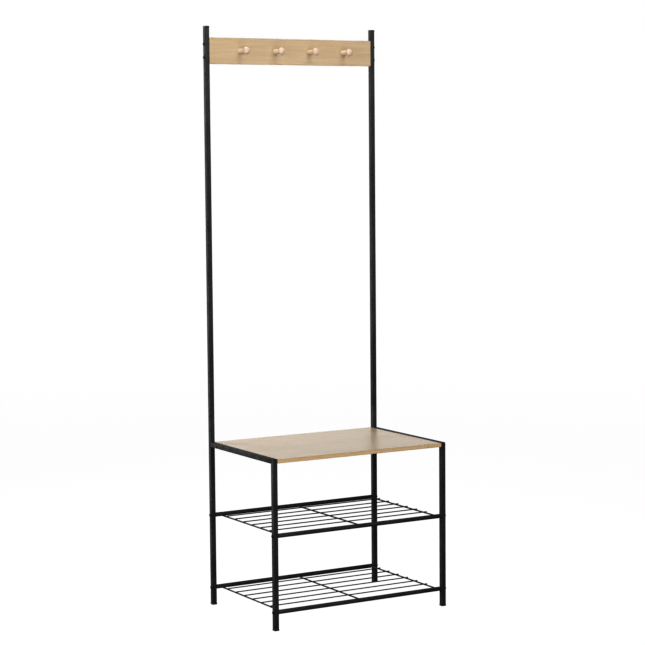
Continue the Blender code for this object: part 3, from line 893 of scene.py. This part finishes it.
def shelf_wires(shelf, finish):
    """Long wires welded on top of the cross wires, whose ends are welded to the rails."""
    node = f"{shelf}_shelf_wires"
    low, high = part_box(node)
    cross_z = low.z + CROSS_WIRE
    long_z = high.z - LONG_WIRE
    cross_x = high.x - LONG_WIRE_END
    cross_places = (-cross_x, 0, cross_x)
    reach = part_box(f"{shelf}_shelf_rear_rail")[0].y + WELD_DEPTH

    cross = bmesh.new()
    profile = wire_profile(CROSS_WIRE, 2 * reach, welded=True)
    for x in cross_places:
        add_turned(cross, profile, THIN_SIDES, along((x, -reach, cross_z), (x, 0, cross_z)))
    made = new_object(f"{node}_grid", cross)

    lengthways = bmesh.new()
    nuggets = bmesh.new()
    profile = wire_profile(LONG_WIRE, 2 * high.x, welded=False)
    for number in range(LONG_WIRE_COUNT):
        y = (number - (LONG_WIRE_COUNT - 1) / 2) * LONG_WIRE_SPACING
        add_turned(lengthways, profile, THIN_SIDES, along((low.x, y, long_z), (0, y, long_z)))
        for x in cross_places:
            ball = bmesh.new()
            bmesh.ops.create_uvsphere(ball, u_segments=NUGGET_TURNS, v_segments=NUGGET_RINGS, radius=1.0)
            place = Matrix.Translation((x, y, (cross_z + long_z) / 2)) @ Matrix.Diagonal((*NUGGET, 1))
            append(nuggets, ball, place)
    combine(made, lengthways, "UNION")
    combine(made, nuggets, "UNION")
    finish_piece(made, [finish], [node])


# ---------------------------------------------------------------- fasteners


def head_profile(radius, rise, crown):
    """A domed head's half outline, from its rim up an arc to the flat round the socket."""
    land = rise * HEAD_LAND
    points = [(radius - HEAD_CHAMFER, 0), (radius, HEAD_CHAMFER), (radius, land)]
    for step in range(1, HEAD_STEPS + 1):
        angle = QUARTER_TURN * step / HEAD_STEPS
        across = crown + (radius - crown) * math.cos(angle)
        points.append((across, land + (rise - land) * math.sin(angle)))
    return points


def socket_fastener(shank, length, radius, rise, crown, hex_across, depth):
    """A mesh of a domed bolt with a six-sided socket: head up +Z from 0, shank down."""
    chamfer = shank / 4
    profile = [(0, -length), (shank - chamfer, -length), (shank, chamfer - length), (shank, 0)]
    profile += head_profile(radius, rise, crown)
    profile += [(0, rise)]
    made = new_object("socket_fastener", turned(profile, BOLT_SIDES))
    cutter = bmesh.new()
    corner = hex_across / math.sqrt(3)
    lip = SOCKET_LIP
    outline = [(0, rise - depth - corner * SOCKET_POINT), (corner, rise - depth), (corner, rise - lip)]
    outline += [(corner + 2 * lip, rise + lip), (0, rise + lip)]
    add_turned(cutter, outline, HEX, Matrix.Identity(4))
    combine(made, cutter, "DIFFERENCE")
    mesh = made.data
    bpy.data.objects.remove(made, do_unlink=True)
    return mesh


def place_fastener(node, mesh, side, finish):
    """A copy of a fastener's mesh, with the underside of its head on the tube's outer face."""
    at = middle(node)
    made = bpy.data.objects.new(f"{node}_head", mesh.copy())
    made.data.name = made.name
    bpy.context.scene.collection.objects.link(made)
    start = (side * TUBE_OUTER, at.y, at.z)
    made.data.transform(along(start, (2 * side * TUBE_OUTER, at.y, at.z)))
    finish_piece(made, [finish], [node])


def fasteners(finish):
    """The bolts and screws that go in from outside the rack."""
    shelf_bolt = socket_fastener(SHANK, SHELF_BOLT_LENGTH, **DOMED_HEAD)
    board_bolt = socket_fastener(SHANK, BOARD_BOLT_LENGTH, **DOMED_HEAD)
    joint_bolt = socket_fastener(SHANK, JOINT_BOLT_LENGTH, **LOW_HEAD)
    seat_screw = socket_fastener(SCREW_SHANK, SEAT_SCREW_LENGTH, **LOW_HEAD)
    for side_name, side in SIDES.items():
        for row_name in ROWS:
            for shelf in SHELVES:
                place_fastener(f"{side_name}_{row_name}_{shelf}_shelf_bolt", shelf_bolt, side, finish)
            place_fastener(f"{side_name}_{row_name}_seat_screw", seat_screw, side, finish)
        for level in LEVELS:
            place_fastener(f"{side_name}_{level}_hook_board_bolt", board_bolt, side, finish)
            for number in JOINT_BOLT_NUMBERS:
                place_fastener(f"{side_name}_{level}_joint_bolt_{number}", joint_bolt, side, finish)


def peg_screws(finish):
    """Countersunk cross-recessed screws, with their heads just under the board's back face."""
    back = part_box("hook_board")[1].y
    length = PEG_SCREW_LENGTH
    sunk = COUNTERSUNK_BELOW
    rim = COUNTERSUNK_RIM
    head = COUNTERSUNK_HEAD
    shank = COUNTERSUNK_SHANK
    profile = [(0, -length), (shank, 2 * shank - length), (shank, shank - head - sunk)]
    profile += [(head, -sunk - rim), (head - rim, -sunk), (0, -sunk)]
    for number in PEG_NUMBERS:
        node = f"peg_screw_{number}"
        at = middle(node)
        made = new_object(f"{node}_head", turned(profile, BOLT_SIDES))
        for arm in ((RECESS_LENGTH, RECESS_WIDTH), (RECESS_WIDTH, RECESS_LENGTH)):
            recess = bmesh.new()
            bmesh.ops.create_cube(recess, size=1.0)
            bmesh.ops.scale(recess, vec=(*arm, RECESS_HEIGHT), verts=recess.verts)
            combine(made, recess, "DIFFERENCE")
        made.data.transform(along((at.x, back, at.z), (at.x, back + 1, at.z)))
        finish_piece(made, [finish], [node])


# ---------------------------------------------------------------- stage, lights and camera


def floor():
    """A pale disc that glows a little less than the white room, and fades into it towards its rim."""
    bm = bmesh.new()
    bmesh.ops.create_circle(bm, cap_ends=True, radius=FLOOR_RADIUS, segments=FLOOR_SIDES)
    made = new_object("floor", bm)
    finish = Finish("pale_floor")
    away = finish.nodes.new("ShaderNodeVectorMath")
    away.operation = "LENGTH"
    finish.links.new(finish.coords, away.inputs[0])
    glow = finish.remap(away.outputs["Value"], FLOOR_FADE_FROM, FLOOR_RADIUS, FLOOR_GLOW, 1.0)
    finish.set("Base Color", (FLOOR_ALBEDO, FLOOR_ALBEDO, FLOOR_ALBEDO, 1))
    finish.set("Roughness", FLOOR_ROUGHNESS)
    finish.set("Specular IOR Level", 0.0)
    finish.set("Emission Color", (1, 1, 1, 1))
    finish.drive("Emission Strength", glow)
    made.data.materials.append(finish.material)
    made.visible_diffuse = False
    made.visible_glossy = False


def backdrop():
    """White for the camera. For the object, dim with a bright wall low behind its right side."""
    world = bpy.data.worlds.new("studio")
    bpy.context.scene.world = world
    world.use_nodes = True
    nodes = world.node_tree.nodes
    links = world.node_tree.links
    nodes.clear()
    coords = nodes.new("ShaderNodeTexCoord")
    towards = nodes.new("ShaderNodeVectorMath")
    towards.operation = "DOT_PRODUCT"
    towards.inputs[1].default_value = Vector(WALL_DIRECTION).normalized()
    links.new(coords.outputs["Generated"], towards.inputs[0])
    spread = nodes.new("ShaderNodeMapRange")
    spread.interpolation_type = "SMOOTHSTEP"
    links.new(towards.outputs["Value"], spread.inputs["Value"])
    spread.inputs["From Min"].default_value = WALL_SPREAD[0]
    spread.inputs["From Max"].default_value = WALL_SPREAD[1]
    spread.inputs["To Min"].default_value = ROOM_LIGHT
    spread.inputs["To Max"].default_value = WALL_LIGHT
    room = nodes.new("ShaderNodeBackground")
    links.new(spread.outputs["Result"], room.inputs["Strength"])
    white = nodes.new("ShaderNodeBackground")
    path = nodes.new("ShaderNodeLightPath")
    chosen = nodes.new("ShaderNodeMixShader")
    links.new(path.outputs["Is Camera Ray"], chosen.inputs["Fac"])
    links.new(room.outputs["Background"], chosen.inputs[1])
    links.new(white.outputs["Background"], chosen.inputs[2])
    room.inputs["Color"].default_value = (1, 1, 1, 1)
    white.inputs["Color"].default_value = (1, 1, 1, 1)
    output = nodes.new("ShaderNodeOutputWorld")
    links.new(chosen.outputs["Shader"], output.inputs["Surface"])


def soft_light(name, place, target, size, power, spread=math.pi, mirrored=True):
    """A rectangular area light. It isn't seen itself, and is mirrored in glossy surfaces only if asked."""
    light = bpy.data.lights.new(name, "AREA")
    light.shape = "RECTANGLE"
    light.size = size[0]
    light.size_y = size[1]
    light.energy = power
    light.spread = spread
    made = bpy.data.objects.new(name, light)
    bpy.context.scene.collection.objects.link(made)
    made.location = place
    made.rotation_euler = (Vector(target) - Vector(place)).to_track_quat("-Z", "Y").to_euler()
    made.visible_camera = False
    made.visible_glossy = mirrored


def camera():
    """A long lens to the left of the rack and a little above its middle, turned right and tilted down."""
    yaw, pitch, roll = (math.radians(angle) for angle in CAMERA_ANGLES)
    made = bpy.data.objects.new("camera", bpy.data.cameras.new("camera"))
    made.data.lens = CAMERA_LENS
    made.data.sensor_width = CAMERA_SENSOR
    made.location = CAMERA_PLACE
    turn = Euler((QUARTER_TURN - pitch, 0, -yaw)).to_matrix() @ Euler((0, 0, -roll)).to_matrix()
    made.rotation_euler = turn.to_euler()
    bpy.context.scene.collection.objects.link(made)
    bpy.context.scene.camera = made


# ---------------------------------------------------------------- build

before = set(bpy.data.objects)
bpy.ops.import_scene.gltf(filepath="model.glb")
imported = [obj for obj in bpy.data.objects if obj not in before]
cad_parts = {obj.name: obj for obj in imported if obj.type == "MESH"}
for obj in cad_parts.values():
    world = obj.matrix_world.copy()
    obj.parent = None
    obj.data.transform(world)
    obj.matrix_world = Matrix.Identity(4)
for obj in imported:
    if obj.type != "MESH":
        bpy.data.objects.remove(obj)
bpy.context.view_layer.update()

TUBE_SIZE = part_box("left_rear_leg")[1].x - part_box("left_rear_leg")[0].x
TUBE_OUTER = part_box("right_rear_leg")[1].x

steel = powder_coat()
bolt_steel = black_bolt()
plastic = black_plastic()
laminate = board_laminate()
# painted sheen: the seat's oak is the board's oak retuned to the light on the seat's top
seat_painted_sheen = seat_oak_painted_sheen()
band = edge_band()
beech = turned_beech()
zinc = zinc_screw()

for name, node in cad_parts.items():
    if "joint_tube" in name:
        node.data.materials.clear()
        node.data.materials.append(steel)

for side in SIDES:
    uprights(side, steel)
    side_frame(side, steel)
    caps(side, plastic)
seat(seat_painted_sheen, band)
hook_board(laminate, band)
pegs(beech)
peg_screws(zinc)
for shelf in SHELVES:
    shelf_rails(shelf, steel)
    shelf_wires(shelf, steel)
fasteners(bolt_steel)

floor()
backdrop()
soft_light("front", FRONT_PLACE, AIM, FRONT_SIZE, FRONT_POWER, mirrored=False)
soft_light("top", TOP_PLACE, TOP_AIM, TOP_SIZE, TOP_POWER, TOP_SPREAD)
soft_light("low", LOW_PLACE, LOW_AIM, LOW_SIZE, LOW_POWER, LOW_SPREAD, mirrored=False)
soft_light("side", SIDE_PLACE, AIM, SIDE_SIZE, SIDE_POWER)
soft_light("left", LEFT_PLACE, AIM, LEFT_SIZE, LEFT_POWER, mirrored=False)
camera()
bpy.context.scene.view_settings.view_transform = "Standard"
bpy.context.scene.view_settings.gamma = VIEW_GAMMA
